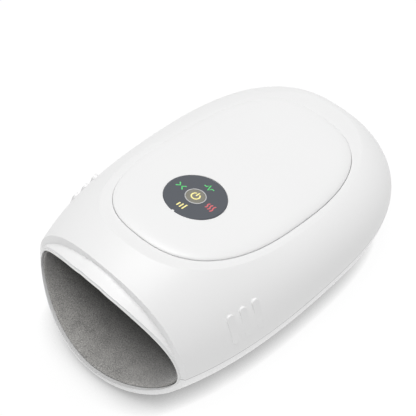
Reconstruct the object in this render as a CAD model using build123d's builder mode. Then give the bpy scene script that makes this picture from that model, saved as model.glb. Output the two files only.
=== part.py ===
from build123d import *
from dataclasses import dataclass, replace
from math import asin, atan, cos, degrees, hypot, radians, sin, sqrt, tan
import os

# Hand massager. Millimetres, +Z up, the mouth faces -Y and the feet stand on Z = 0.

os.makedirs("parts", exist_ok=True)

# Body outline at the parting line
parting_height = 35.0
body_center = 7.6
body_half_width = 74.0
body_back = 105.0
body_nose = 150.0
body_back_power = 2.7
body_nose_power = 2.3

# Deck surface on top: crowned across, sloping down to the back
deck_center_height = 73.4
deck_slope = 9.6
deck_crown_radius = 262.0
deck_hollow_radius = 1000.0
deck_stations = (-160.0, -80.0, 0, 80.0, 160.0)

# Ridge where the side wall meets the deck
ridge_half_width = 53.4
ridge_center = 7.6
ridge_back = 92.0
ridge_front = 84.5
ridge_power = 2.45
ridge_steepness = 74.0

# Oval top panel
panel_half_width = 48.8
panel_center = 7.6
panel_back = 79.0
panel_front = 75.5
panel_back_power = 2.88
panel_front_power = 2.5
panel_rise = 2.8
panel_roll = 10.0
panel_edge = 0.4
panel_recess = 2.5
panel_gap = 0.25
panel_wall = 2.0
panel_seat_gap = 0.1
panel_core_radius = 11.0
panel_pin_radius = 1.5
panel_pin_gap = 0.1
panel_pin_length = 1.6
panel_pin_front = (24.0, -50.0)
panel_pin_back = (28.0, 64.0)
panel_roll_shares = (0, 0.04, 0.15, 0.35, 0.65, 1)

# Walls of the clamshell
wall = 2.4
deck_floor = 2.2
rim_step = 0.4
front_wall = 2.6
lip_height = 1.6
lip_width = 1.1
lip_gap = 0.1

# Lower hull
hull_inset = 44.0
hull_foot_height = 2.0
hull_floor = 2.6

# Mouth
mouth_half_width = 56.2
mouth_up = 46.2
mouth_down = 28.6
mouth_up_power = 1.86
mouth_down_power = 1.82
mouth_front = -108.6
mouth_lean = 6.5
mouth_bow_radius = 116.0
collar_wall = 1.4
collar_length = 8.5
collar_back_y = -88.6
step_bow_radius = 290.0
ring_wall = 0.9
ring_length = 9.0
ring_proud = 0.5
ring_gap = 0.05

# Side ribs
rib_count = 3
rib_pitch = 8.7
rib_middle = -50.8
rib_width = 4.6
rib_length = 20.0
rib_height = 55.0
rib_reach = 66.3
rib_lean = 18.5
rib_turn = 7.7
rib_depth = 3.6

# Housing screws and their bosses
boss_radius = 4.2
front_boss_x = 58.5
front_boss_y = -62.0
rear_boss_x = 50.0
rear_boss_y = 77.0
screw_radius = 1.45
screw_length = 16.0
screw_head_radius = 2.8
screw_head_height = 2.0
screw_seat = 7.0
screw_hole_radius = 1.7
screw_pilot_radius = 1.5
screw_pocket_radius = 3.3
screw_drive_width = 0.8
screw_drive_depth = 1.1
screw_slot_share = 0.7
screw_spare = 0.5

# Rubber feet
foot_radius = 6.0
foot_recess = 0.8
foot_x = 24.0
foot_front_y = -72.0
foot_back_y = 48.0
foot_round = 0.6

# Control disc, set into the panel where the deck is this far forward
disc_y = -22.4
disc_radius = 18.5
disc_thickness = 1.6
disc_proud = 0.15
disc_gap = 0.12
disc_bevel = 0.45
disc_ledge_radius = 14.0
key_radius = 0.85
key_gap = 0.15
button_radius = 5.6
button_proud = 0.3
button_cap_height = 2.0
button_flange_radius = 7.0
button_flange_height = 0.6
button_stem_radius = 1.6
button_stem_length = 1.2
button_round = 0.35
button_travel = 0.6
button_gap = 0.1
trim_ring_width = 0.55
trim_ring_proud = 0.25

# Key board under the disc, with its switch and lamps
switch_size = 6.0
switch_height = 4.4
switch_bore_radius = 1.75
plunger_radius = 1.65
plunger_length = 2.0
plunger_gap = 0.05
key_board_radius = 17.0
key_board_thickness = 1.6
lamp_size = 2.0
lamp_height = 0.8
lamp_circle_radius = 11.4
key_post_radius = 1.8
key_post_circle_radius = 15.4
key_post_count = 3
key_screw_length = 3.8

# Fabric sleeve
sleeve_wall = 1.5
sleeve_gap = 0.4
sleeve_front_y = -122.0
sleeve_neck_y = -85.0
palm_y = -62.0
palm_half_width = 49.5
palm_top = 67.4
palm_bottom = 12.6
knuckle_y = -8.0
knuckle_half_width = 43.0
knuckle_top = 58.0
knuckle_bottom = 15.0
finger_y = 42.0
finger_half_width = 38.0
finger_top = 50.6
finger_bottom = 15.5
tip_y = 60.0
tip_half_width = 28.0
tip_top = 46.0
tip_bottom = 19.0
sleeve_end_y = 65.0
sleeve_end_half_width = 14.0
sleeve_end_top = 38.0
sleeve_end_bottom = 27.0
sleeve_power = 2.2
sleeve_ring_setback = 1.2

# Bag carrier: an arch over the sleeve, parallel to the deck
carrier_front_y = -68.0
carrier_length = 122.0
carrier_height = 75.0
carrier_half_width = 43.5
carrier_drop = 12.0
carrier_wall = 2.0
carrier_pad_radius = 3.6
carrier_pad_drop = 2.2
carrier_pad_rise = 4.4
carrier_post_radius = 3.2
carrier_post_gap = 0.1
carrier_post_x = 39.0
carrier_post_front_y = -46.0
carrier_post_back_y = 34.0
carrier_screw_length = 11.0
small_screw_radius = 1.2
small_screw_head_radius = 2.3
small_screw_head_height = 1.3
small_hole_radius = 1.45
small_pilot_radius = 1.25

# Air bags under the carrier
bag_half_width = 34.0
bag_thickness = 4.4
bag_edge = 1.0
bag_gap = 0.4
palm_bag_start = 8.0
palm_bag_length = 52.0
finger_bag_start = 66.0
finger_bag_length = 46.0
nozzle_radius = 1.4
nozzle_height = 3.0
nozzle_x = 22.0
nozzle_hole_radius = 2.4

# Palm plate on the hull floor, with massage nodes, heating film and sensor
plate_width = 72.0
plate_length = 96.0
plate_y = -10.0
plate_bottom = 6.6
plate_thickness = 1.8
plate_corner = 10.0
node_radius = 4.5
node_height = 3.6
node_columns = 5
node_rows = 7
node_pitch = 12.0
plate_post_radius = 3.6
plate_post_x = 30.0
plate_post_y = 43.0
plate_screw_length = 4.4
film_thickness = 0.4
film_width = 50.0
film_length = 84.0
sensor_size = 4.0
sensor_height = 1.2

# Battery cells and their holder, left of the sleeve
cell_radius = 9.2
cell_length = 65.0
cell_cap_radius = 3.2
cell_cap_height = 0.9
cell_x = -54.2
cell_front_y = -20.5
cell_low_z = 26.6
cell_pitch = 18.9
holder_wall = 1.5
holder_gap = 0.3
contact_thickness = 0.5
contact_gap = 0.1
contact_width = 8.0
battery_post_pitch = 36.0
battery_post_radius = 3.4

# Main board with components, right of the sleeve
board_x = 60.4
board_thickness = 1.6
board_length = 60.0
board_front_y = -10.0
board_bottom = 22.0
board_height = 27.0
board_slot_gap = 0.1
board_slot_depth = 4.0
board_post_length = 4.0
board_post_width = 6.0
chip_size = 9.0
chip_height = 1.4
chip_y = 13.0
chip_z = 40.0
capacitor_radius = 3.0
capacitor_height = 7.0
capacitor_y = 42.0
capacitor_z = 30.0
plug_width = 8.0
plug_height = 5.0
plug_depth = 4.5
plug_y = 42.0
plug_z = 43.0

# Solenoid valves on the main board
valve_width = 10.6
valve_depth = 11.0
valve_height = 20.0
valve_bottom = 25.2
palm_valve_y = -0.7
finger_valve_y = 29.3
valve_board_gap = 0.2
valve_end_wall = 2.6
valve_bore_radius = 3.1
valve_plunger_radius = 3.04
valve_plunger_length = 9.5
valve_seat_gap = 0.1
valve_travel = 1.5
valve_port_radius = 0.8
valve_stop_radius = 1.3
valve_nozzle_radius = 2.0
valve_nozzle_length = 4.0
valve_spring_radius = 1.9
valve_spring_wire_radius = 0.22
valve_spring_turns = 4
valve_spring_gap = 0.1
manifold_width = 6.0
manifold_height = 6.0
manifold_gap = 1.0
manifold_end = 6.0
manifold_socket_gap = 0.05
manifold_bore_radius = 0.8

# Air pump at the back, its shaft along X
pump_y = 85.0
pump_z = 30.6
motor_radius = 12.0
motor_left = -29.0
motor_right = 1.0
motor_bore_radius = 3.0
bush_length = 3.0
shaft_radius = 1.0
shaft_gap = 0.05
shaft_left = -31.0
shaft_right = 12.5
head_radius = 13.5
head_gap = 0.2
chamber_radius = 10.5
chamber_depth = 11.0
head_length = 14.5
cam_radius = 5.0
cam_offset = 1.5
cam_length = 6.0
cam_left = 5.2
diaphragm_thickness = 2.4
cover_length = 8.0
cover_round = 1.2
outlet_length = 5.0
outlet_rise = 6.0
mount_width = 6.0
mount_radius = 15.0
mount_motor_x = -18.0
mount_head_x = 9.0
cradle_radius = 16.4
cradle_gap = 0.05
cradle_base_width = 10.0
cradle_base_length = 54.0
cradle_base_bottom = 12.2
cradle_base_thickness = 3.0
cradle_post_radius = 3.4
cradle_post_x = 24.0
cradle_screw_length = 6.0
cradle_mouth_height = 6.0

# Charging port in the back wall
port_z = 24.0
port_width = 9.0
port_height = 3.2
port_shell = 0.35
port_length = 8.0
port_front_y = 109.4
port_slot_gap = 0.5
tongue_width = 6.6
tongue_height = 0.7
tongue_setback = 1.0
port_depth = 7.0
port_board_width = 16.0
port_board_length = 6.2
port_board_thickness = 1.2
port_board_setback = 2.1
port_stand_width = 12.0
port_stand_length = 4.0

# Air tubes
tube_radius = 2.1
tube_gap = 0.05
tube_bend = 3.2
tube_grip = 2.4
tube_end_gap = 0.2
tube_run = 12.0
palm_tube_shoulder = (39.0, -33.6, 68.6)
palm_tube_side = (50.4, -33.6, 58.0)
palm_tube_low_y = -24.0
finger_tube_shoulder_x = 38.0
finger_tube_shoulder_z = 61.4
finger_tube_drop_z = 48.0
pump_tube_turn_x = 40.0
pump_tube_side = (49.0, 62.0, 30.0)

# Drawing aids
overrun = 1.0
reach = 160.0
outline_step = 10
side_step = 11
side_overlap = 8


@dataclass
class Egg:
    """A closed outline, alike left and right, with its own reach to the back and to the front."""
    half_width: float
    center: float
    back: float
    front: float
    back_power: float
    front_power: float

    def point(self, angle):
        """Point at an angle in degrees: 0 at the right side, 90 at the back."""
        across = cos(radians(angle))
        along = sin(radians(angle))
        far, power = (self.back, self.back_power) if along > 0 else (self.front, self.front_power)
        size = (abs(across) ** power + abs(along) ** power) ** (-1 / power)
        return self.half_width * across * size, self.center + far * along * size

    def grown(self, amount):
        """The same outline, moved outward all round."""
        return replace(
            self, half_width=self.half_width + amount, back=self.back + amount, front=self.front + amount
        )


body = Egg(body_half_width, body_center, body_back, body_nose, body_back_power, body_nose_power)
ridge = Egg(ridge_half_width, ridge_center, ridge_back, ridge_front, ridge_power, ridge_power)
panel = Egg(panel_half_width, panel_center, panel_back, panel_front, panel_back_power, panel_front_power)
mouth = Egg(mouth_half_width, parting_height, mouth_up, mouth_down, mouth_up_power, mouth_down_power)
hull_flat = body.grown(-hull_inset)
arch_radius = (carrier_half_width ** 2 + carrier_drop ** 2) / (2 * carrier_drop)
rim_depth = panel_recess + deck_floor
section_angles = range(-90 - side_step, 91 + side_step, side_step)


def deck_height(x, y):
    """Height of the deck surface over a point of the plan."""
    run = y - body_center
    spine = deck_center_height - run * tan(radians(deck_slope)) + run ** 2 / (2 * deck_hollow_radius)
    return spine - deck_crown_radius + sqrt(deck_crown_radius ** 2 - x ** 2)


def egg_face(egg, plane):
    """An egg outline, filled, on a plane."""
    with BuildSketch(plane) as face:
        with BuildLine():
            Spline(*[egg.point(angle) for angle in range(-90, 91, outline_step)], tangents=((1, 0), (-1, 0)))
            mirror(about=Plane.YZ)
        make_face()
    return face.sketch


def crowned_block(lift):
    """Everything below the deck surface raised by lift."""
    with BuildPart() as block:
        for station in deck_stations:
            with BuildSketch(Plane(origin=(0, station, 0), x_dir=(1, 0, 0), z_dir=(0, -1, 0))):
                middle = deck_height(0, station) + lift
                edge = deck_height(body_half_width, station) + lift
                with BuildLine():
                    ThreePointArc((-body_half_width, edge), (0, middle), (body_half_width, edge))
                    Polyline(
                        (body_half_width, edge),
                        (body_half_width, -reach),
                        (-body_half_width, -reach),
                        (-body_half_width, edge),
                    )
                make_face()
        loft()
    return block.part


def egg_column(egg, bottom, top):
    """Upright column with an egg outline."""
    with BuildPart() as column:
        extrude(egg_face(egg, Plane.XY.offset(bottom)), amount=top - bottom)
    return column.part


def mouth_tube(grow, back_y):
    """Straight tunnel with the mouth's outline, from far in front to back_y."""
    with BuildPart() as tube:
        back_plane = Plane(origin=(0, back_y, 0), x_dir=(1, 0, 0), z_dir=(0, -1, 0))
        extrude(egg_face(mouth.grown(grow), back_plane), amount=reach)
    return tube.part


def front_region(bow_radius, setback):
    """Everything in front of the leaning, bowed surface that the mouth's rim follows."""
    lean = radians(mouth_lean)
    leaning = Plane(
        origin=(0, mouth_front + setback, parting_height),
        x_dir=(1, 0, 0),
        z_dir=(0, sin(lean), cos(lean)),
    )
    with BuildPart() as region:
        with BuildSketch(leaning):
            with Locations((0, body_half_width / 2)):
                Rectangle(2 * body_half_width + wall, 2 * reach, align=(Align.CENTER, Align.MAX))
            with Locations((0, bow_radius)):
                Circle(bow_radius, mode=Mode.SUBTRACT)
        extrude(amount=reach, both=True)
    return region.part


@dataclass
class Side:
    """One upright section plane through the body, and the curve of the side wall in it."""
    plane: Plane
    span: float
    end: float
    crest: float
    end_height: float

    def arc(self, inset, drop):
        """Quarter-ellipse of the side wall, moved in by inset and stopped drop below the crest."""
        steep = radians(ridge_steepness)
        wide = self.span / (1 - cos(steep))
        high = (self.crest - parting_height) / sin(steep)
        stop = asin((self.crest - drop - parting_height) / (high - inset))
        stop_x = wide - (wide - inset) * cos(stop)
        EllipticalCenterArc(
            (wide, parting_height), wide - inset, high - inset, start_angle=180, arc_size=-degrees(stop)
        )
        return stop_x, self.crest - drop


def side_at(angle):
    """Section plane and sizes at one angle round the plan."""
    foot_x, foot_y = body.point(angle)
    crest_x, crest_y = ridge.point(angle)
    inner_x, inner_y = panel.point(angle)
    span = hypot(crest_x - foot_x, crest_y - foot_y)
    along_x, along_y = (crest_x - foot_x) / span, (crest_y - foot_y) / span
    end = span + hypot(inner_x - crest_x, inner_y - crest_y) + side_overlap
    return Side(
        plane=Plane(origin=(foot_x, foot_y, 0), x_dir=(along_x, along_y, 0), z_dir=(along_y, -along_x, 0)),
        span=span,
        end=end,
        crest=deck_height(crest_x, crest_y),
        end_height=deck_height(foot_x + along_x * end, foot_y + along_y * end),
    )


def wall_section(angle):
    """Section of the side wall and the deck's edge."""
    side = side_at(angle)
    with BuildSketch(side.plane) as section:
        with BuildLine():
            outer = side.arc(0, 0)
            inner = side.arc(wall, rim_depth)
            Polyline(outer, (side.end, side.end_height), (side.end, side.end_height - rim_depth), inner)
            Line((0, parting_height), (wall, parting_height))
        make_face()
    return section.sketch


def filled_section(angle):
    """Section filled inward from the middle of the side wall."""
    side = side_at(angle)
    with BuildSketch(side.plane) as section:
        with BuildLine():
            outer = side.arc(wall / 2, rim_depth / 2)
            Polyline(
                outer,
                (side.end, side.end_height - rim_depth / 2),
                (side.end, parting_height),
                (wall / 2, parting_height),
            )
        make_face()
    return section.sketch


def hull_section(angle, filled):
    """Section of the hull's wall and floor, or filled inward from the middle of its wall."""
    foot_x, foot_y = body.point(angle)
    low_x, low_y = hull_flat.point(angle)
    span = hypot(low_x - foot_x, low_y - foot_y)
    along_x, along_y = (low_x - foot_x) / span, (low_y - foot_y) / span
    depth = parting_height - hull_foot_height
    end = span + side_overlap
    with BuildSketch(
        Plane(origin=(foot_x, foot_y, 0), x_dir=(along_x, along_y, 0), z_dir=(along_y, -along_x, 0))
    ) as section:
        with BuildLine():
            if filled:
                half_wall, half_floor = wall / 2, hull_floor / 2
                EllipticalCenterArc(
                    (span, parting_height), span - half_wall, depth - half_floor, start_angle=180
                )
                Polyline(
                    (span, hull_foot_height + half_floor),
                    (end, hull_foot_height + half_floor),
                    (end, parting_height),
                    (half_wall, parting_height),
                )
            else:
                EllipticalCenterArc((span, parting_height), span, depth, start_angle=180)
                EllipticalCenterArc((span, parting_height), span - wall, depth - hull_floor, start_angle=180)
                Polyline(
                    (span, hull_foot_height),
                    (end, hull_foot_height),
                    (end, hull_foot_height + hull_floor),
                    (span, hull_foot_height + hull_floor),
                )
                Line((0, parting_height), (wall, parting_height))
        make_face()
    return section.sketch


def panel_section(angle):
    """Section of the top panel from its edge in towards the disc, with the edge rolled up."""
    edge_x, edge_y = panel.point(angle)
    span = hypot(edge_x, disc_y - edge_y)
    along_x, along_y = -edge_x / span, (disc_y - edge_y) / span
    end = span - panel_core_radius

    def height(run):
        return deck_height(edge_x + along_x * run, edge_y + along_y * run)

    def top(run):
        rolled = sqrt(1 - (1 - min(run / panel_roll, 1)) ** 2)
        return run, height(run) + panel_edge + (panel_rise - panel_edge) * rolled

    def under(run):
        return run, height(run) - panel_recess + panel_seat_gap

    flat_middle = (panel_roll + end) / 2
    roll = [top(panel_roll * share) for share in panel_roll_shares]
    slope = (top(end)[1] - top(flat_middle)[1]) / (end - flat_middle)
    with BuildSketch(
        Plane(origin=(edge_x, edge_y, 0), x_dir=(along_x, along_y, 0), z_dir=(along_y, -along_x, 0))
    ) as section:
        with BuildLine():
            Spline(*roll, top(flat_middle), top(end), tangents=((0, 1), (1, slope)), tangent_scalars=(1, 1))
            Line(top(end), under(end))
            Spline(under(end), under(end / 2), under(0))
            Line(under(0), top(0))
        make_face()
    return section.sketch


def symmetric_loft(sections):
    """Loft the right half of a ring of sections and mirror it to the left."""
    with BuildPart() as form:
        loft(sections)
        split(bisect_by=Plane.YZ, keep=Keep.TOP)
        mirror(about=Plane.YZ)
    return form.part


def sleeve_form(inset):
    """The hand space: the mouth's outline, drawn in stage by stage to the fingertips."""
    stages = (
        (palm_y, palm_half_width, palm_top, palm_bottom),
        (knuckle_y, knuckle_half_width, knuckle_top, knuckle_bottom),
        (finger_y, finger_half_width, finger_top, finger_bottom),
        (tip_y, tip_half_width, tip_top, tip_bottom),
        (sleeve_end_y, sleeve_end_half_width, sleeve_end_top, sleeve_end_bottom),
    )
    entry = mouth.grown(-sleeve_gap - inset)
    eggs = [(sleeve_front_y, entry), (sleeve_neck_y, entry)]
    for y, half_width, top, bottom in stages:
        middle = (top + bottom) / 2
        up = top - middle
        back_y = y - inset if y == sleeve_end_y else y
        eggs.append((back_y, Egg(half_width, middle, up, up, sleeve_power, sleeve_power).grown(-inset)))
    with BuildPart() as form:
        loft([egg_face(egg, Plane.XZ.offset(-y)) for y, egg in eggs], ruled=True)
    return form.part


def arch_under(x, y):
    """Height of the carrier arch's underside over a point of the plan."""
    fall = (y - carrier_front_y) * tan(radians(deck_slope))
    return carrier_height - fall - arch_radius + sqrt(arch_radius ** 2 - x ** 2)


def save(piece, name):
    """Name a finished piece and write its file."""
    piece.label = name
    export_step(piece, f"parts/{name}.step")


def screw(length, shank_radius, head_radius, head_height):
    """Pan-head screw standing on its head at the origin, with a slot for the driver."""
    with BuildPart() as body_of_screw:
        with BuildSketch():
            Circle(head_radius)
        extrude(amount=-head_height)
        fillet(body_of_screw.edges().group_by(Axis.Z)[0], head_height / 2)
        with BuildSketch():
            Circle(shank_radius)
        extrude(amount=length)
        with BuildSketch(Plane.XY.offset(-head_height)):
            with PolarLocations(0, 2, angular_range=180):
                Rectangle(2 * head_radius * screw_slot_share, screw_drive_width)
        extrude(amount=screw_drive_depth * head_height / screw_head_height, mode=Mode.SUBTRACT)
    return body_of_screw.part


# Upper housing: side wall, deck, collar, ribs and bosses
boss_places = [
    (side * x, y)
    for side in (-1, 1)
    for x, y in ((front_boss_x, front_boss_y), (rear_boss_x, rear_boss_y))
]
post_places = [
    (side * carrier_post_x, y)
    for side in (-1, 1)
    for y in (carrier_post_front_y, carrier_post_back_y)
]
disc_tilt = atan(tan(radians(deck_slope)) - (disc_y - body_center) / deck_hollow_radius)
disc_top = Plane(
    origin=(0, disc_y, deck_height(0, disc_y) + panel_rise + disc_proud),
    x_dir=(1, 0, 0),
    z_dir=(0, sin(disc_tilt), cos(disc_tilt)),
)
pin_places = [(side * x, y) for side in (-1, 1) for x, y in (panel_pin_front, panel_pin_back)]
cap_bottom = button_proud - button_cap_height
stem_top = cap_bottom - button_flange_height
plunger_top = stem_top - button_stem_length - plunger_gap
key_board_top = plunger_top - button_travel - button_gap - switch_height
rim_cut = front_region(mouth_bow_radius, 0)
step_cut = front_region(step_bow_radius, collar_length)
wall_back = front_region(step_bow_radius, collar_length + front_wall)
chin_back = front_region(mouth_bow_radius, front_wall)
bore = mouth_tube(ring_wall + ring_gap, front_boss_y - boss_radius)

with BuildPart() as front_fill:
    add(symmetric_loft([filled_section(angle) for angle in section_angles]))
    add(wall_back, mode=Mode.INTERSECT)
side_fill = symmetric_loft([filled_section(angle) for angle in section_angles])

with BuildPart() as collar:
    add(mouth_tube(ring_wall + collar_wall, collar_back_y))
    split(bisect_by=Plane.XY.offset(parting_height), keep=Keep.TOP)

with BuildPart() as deck:
    add(egg_column(panel.grown(panel_gap + wall), parting_height, reach))
    add(crowned_block(-panel_recess), mode=Mode.INTERSECT)
    add(crowned_block(rim_step - rim_depth), mode=Mode.SUBTRACT)

with BuildPart() as panel_pocket:
    add(egg_column(panel.grown(panel_gap), parting_height, reach))
    add(crowned_block(-panel_recess), mode=Mode.SUBTRACT)

with BuildPart() as upper_bosses:
    with BuildSketch(Plane.XY.offset(parting_height)):
        with Locations(*boss_places):
            Circle(boss_radius)
    extrude(amount=parting_height)
    add(side_fill, mode=Mode.INTERSECT)

with BuildPart() as carrier_posts:
    for x, y in post_places:
        with BuildSketch(Plane.XY.offset(arch_under(x, y) + carrier_pad_rise + carrier_post_gap)):
            with Locations((x, y)):
                Circle(carrier_post_radius)
        extrude(amount=carrier_height)
    add(crowned_block(-rim_depth / 2), mode=Mode.INTERSECT)

with BuildPart() as key_posts:
    with BuildSketch(disc_top.offset(key_board_top)):
        with PolarLocations(key_post_circle_radius, key_post_count, start_angle=90):
            Circle(key_post_radius)
    extrude(amount=-key_board_top)
    add(crowned_block(-rim_depth / 2), mode=Mode.INTERSECT)

with BuildPart() as lip:
    add(egg_column(body.grown(lip_width - wall), parting_height - overrun, parting_height + lip_height))
    add(egg_column(body.grown(-wall), hull_foot_height, deck_center_height), mode=Mode.SUBTRACT)

with BuildPart() as lip_groove:
    groove_top = parting_height + lip_height + lip_gap
    add(egg_column(body.grown(lip_width + lip_gap - wall), parting_height - overrun, groove_top))
    add(egg_column(body.grown(-wall - overrun), hull_foot_height, deck_center_height), mode=Mode.SUBTRACT)

with BuildPart() as ribs:
    turn = radians(rib_turn)
    lean = radians(rib_lean)
    with BuildSketch(Plane(
        origin=(rib_reach, rib_middle, rib_height),
        x_dir=(sin(turn), cos(turn), 0),
        z_dir=(cos(lean) * cos(turn), -cos(lean) * sin(turn), sin(lean)),
    )):
        with GridLocations(rib_pitch, 0, rib_count, 1):
            SlotOverall(rib_length, rib_width, rotation=90)
    extrude(amount=-rib_depth)
    mirror(about=Plane.YZ)

with BuildPart() as upper_housing:
    add(symmetric_loft([wall_section(angle) for angle in section_angles]))
    add(front_fill.part)
    add(step_cut, mode=Mode.SUBTRACT)
    add(collar.part)
    add(deck.part)
    add(upper_bosses.part)
    add(carrier_posts.part)
    add(key_posts.part)
    add(ribs.part)
    add(lip_groove.part, mode=Mode.SUBTRACT)
    add(panel_pocket.part, mode=Mode.SUBTRACT)
    add(rim_cut, mode=Mode.SUBTRACT)
    add(bore, mode=Mode.SUBTRACT)
    with BuildSketch(Plane.XY.offset(parting_height)):
        with Locations(*boss_places):
            Circle(screw_pilot_radius)
    extrude(amount=screw_length - screw_seat + overrun, mode=Mode.SUBTRACT)
    for x, y in post_places:
        with BuildSketch(Plane.XY.offset(arch_under(x, y))):
            with Locations((x, y)):
                Circle(small_pilot_radius)
        extrude(amount=carrier_screw_length, mode=Mode.SUBTRACT)
    with BuildSketch(disc_top):
        Circle(disc_ledge_radius)
    extrude(amount=key_board_top, mode=Mode.SUBTRACT)
    with BuildSketch(disc_top.offset(key_board_top)):
        with PolarLocations(key_post_circle_radius, key_post_count, start_angle=90):
            Circle(small_pilot_radius)
    extrude(amount=key_screw_length - key_board_thickness + screw_spare, mode=Mode.SUBTRACT)
    with BuildSketch(Plane.XY.offset(parting_height)):
        with Locations(*pin_places):
            Circle(panel_pin_radius + panel_pin_gap)
    extrude(amount=reach, mode=Mode.SUBTRACT)
save(upper_housing.part, "upper_housing")

# Lower housing: hull with screw posts, foot recesses and a lip that locates the upper half
foot_places = [(side * foot_x, y) for side in (-1, 1) for y in (foot_front_y, foot_back_y)]
hull_ring = symmetric_loft([hull_section(angle, True) for angle in section_angles])
holder_radius = cell_radius + holder_gap + holder_wall
cradle_places = [(side * cradle_post_x, pump_y) for side in (-1, 1)]
plate_places = [
    (side * plate_post_x, plate_y + end * plate_post_y) for side in (-1, 1) for end in (-1, 1)
]
port_board_bottom = port_z - port_height / 2 - port_board_thickness
port_board_y = port_front_y - port_length - port_board_setback + port_board_length / 2

with BuildPart() as hull_inside:
    add(hull_ring)
    add(egg_column(hull_flat.grown(-side_overlap / 2), hull_foot_height + hull_floor / 2, parting_height))
hull_fill = hull_inside.part

with BuildPart() as chin_fill:
    add(hull_fill)
    add(chin_back, mode=Mode.INTERSECT)

with BuildPart() as hull_posts:
    with BuildSketch(Plane.XY.offset(hull_foot_height)):
        with Locations(*boss_places):
            Circle(boss_radius)
    extrude(amount=parting_height - hull_foot_height)
    add(hull_fill, mode=Mode.INTERSECT)

with BuildPart() as hull_stands:
    with BuildSketch(Plane.XY.offset(hull_foot_height)):
        with Locations(*plate_places):
            Circle(plate_post_radius)
    extrude(amount=plate_bottom - hull_foot_height)
    with BuildSketch(Plane.XY.offset(hull_foot_height)):
        with Locations(*cradle_places):
            Circle(cradle_post_radius)
    extrude(amount=cradle_base_bottom - hull_foot_height)
    with BuildSketch(Plane.XY.offset(hull_foot_height)):
        with Locations((board_x + board_thickness / 2, board_front_y + board_length / 2)):
            with GridLocations(0, board_length, 1, 2):
                Rectangle(board_post_width, board_post_length)
    extrude(amount=board_bottom + board_slot_depth - hull_foot_height)
    with BuildSketch(Plane.XY.offset(hull_foot_height)):
        with Locations((0, port_board_y)):
            Rectangle(port_stand_width, port_stand_length)
    extrude(amount=port_board_bottom - hull_foot_height)
    with BuildSketch(Plane.XY.offset(hull_foot_height)):
        with Locations((cell_x, cell_front_y + cell_length / 2)):
            with GridLocations(0, battery_post_pitch, 1, 2):
                Circle(battery_post_radius)
    extrude(amount=cell_low_z - holder_radius - hull_foot_height)
    add(hull_fill, mode=Mode.INTERSECT)

with BuildPart() as lower_housing:
    add(symmetric_loft([hull_section(angle, False) for angle in section_angles]))
    add(egg_column(hull_flat.grown(-side_overlap / 2), hull_foot_height, hull_foot_height + hull_floor))
    add(chin_fill.part)
    add(hull_posts.part)
    add(hull_stands.part)
    add(lip.part)
    add(rim_cut, mode=Mode.SUBTRACT)
    add(bore, mode=Mode.SUBTRACT)
    with BuildSketch(Plane.XY.offset(parting_height)):
        with Locations(*boss_places):
            Circle(screw_hole_radius)
    extrude(amount=-parting_height, mode=Mode.SUBTRACT)
    with BuildSketch(Plane.XY.offset(parting_height - screw_seat)):
        with Locations(*boss_places):
            Circle(screw_pocket_radius)
    extrude(amount=-parting_height, mode=Mode.SUBTRACT)
    with BuildSketch(Plane.XY.offset(hull_foot_height)):
        with Locations(*foot_places):
            Circle(foot_radius)
    extrude(amount=foot_recess, mode=Mode.SUBTRACT)
    with BuildSketch(Plane.XY.offset(plate_bottom)):
        with Locations(*plate_places):
            Circle(small_pilot_radius)
    extrude(amount=plate_thickness - plate_screw_length - screw_spare, mode=Mode.SUBTRACT)
    with BuildSketch(Plane.XY.offset(cradle_base_bottom)):
        with Locations(*cradle_places):
            Circle(small_pilot_radius)
    extrude(amount=cradle_base_thickness - cradle_screw_length - screw_spare, mode=Mode.SUBTRACT)
    with BuildSketch(Plane.XY.offset(board_bottom)):
        with Locations((board_x + board_thickness / 2, board_front_y + board_length / 2)):
            Rectangle(board_thickness + 2 * board_slot_gap, board_length + 2 * board_slot_gap)
    extrude(amount=board_slot_depth + overrun, mode=Mode.SUBTRACT)
    with BuildSketch(Plane.XZ.offset(port_length - port_front_y)):
        with Locations((0, port_z)):
            SlotOverall(port_width + 2 * port_slot_gap, port_height + 2 * port_slot_gap)
    extrude(amount=-reach, mode=Mode.SUBTRACT)
save(lower_housing.part, "lower_housing")

# Trim ring in the mouth
with BuildPart() as mouth_trim_ring:
    add(mouth_tube(ring_wall, palm_y))
    add(mouth_tube(0, palm_y), mode=Mode.SUBTRACT)
    add(front_region(mouth_bow_radius, ring_length), mode=Mode.INTERSECT)
    add(front_region(mouth_bow_radius, -ring_proud), mode=Mode.SUBTRACT)
save(mouth_trim_ring.part, "mouth_trim_ring")

# Fabric sleeve round the hand, closed at the fingertips
with BuildPart() as fabric_sleeve:
    add(sleeve_form(0))
    add(sleeve_form(sleeve_wall), mode=Mode.SUBTRACT)
    add(front_region(mouth_bow_radius, sleeve_ring_setback), mode=Mode.SUBTRACT)
save(fabric_sleeve.part, "fabric_sleeve")

# Top panel: an oval cover with a rolled edge, hollow underneath, with a recess for the disc
with BuildPart() as panel_hollow:
    add(egg_column(panel.grown(-panel_roll), parting_height, reach))
    add(crowned_block(panel_rise - panel_wall), mode=Mode.INTERSECT)
    with BuildSketch(disc_top):
        Circle(disc_radius + panel_wall)
    extrude(amount=reach, both=True, mode=Mode.SUBTRACT)

with BuildPart() as panel_pins:
    for x, y in pin_places:
        with BuildSketch(Plane.XY.offset(deck_height(x, y) - rim_depth - panel_pin_length)):
            with Locations((x, y)):
                Circle(panel_pin_radius)
        extrude(amount=reach)
    add(crowned_block(panel_rise / 2), mode=Mode.INTERSECT)

with BuildPart() as top_panel:
    add(symmetric_loft([panel_section(angle) for angle in section_angles]))
    add(panel_hollow.part, mode=Mode.SUBTRACT)
    add(panel_pins.part)
    with BuildSketch(disc_top):
        Circle(disc_ledge_radius)
    extrude(amount=reach, both=True, mode=Mode.SUBTRACT)
    with BuildSketch(disc_top.offset(-disc_thickness)):
        Circle(disc_radius + disc_gap)
        with Locations((0, -disc_radius)):
            Circle(key_radius, mode=Mode.SUBTRACT)
    extrude(amount=panel_rise, mode=Mode.SUBTRACT)
save(top_panel.part, "top_panel")

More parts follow.
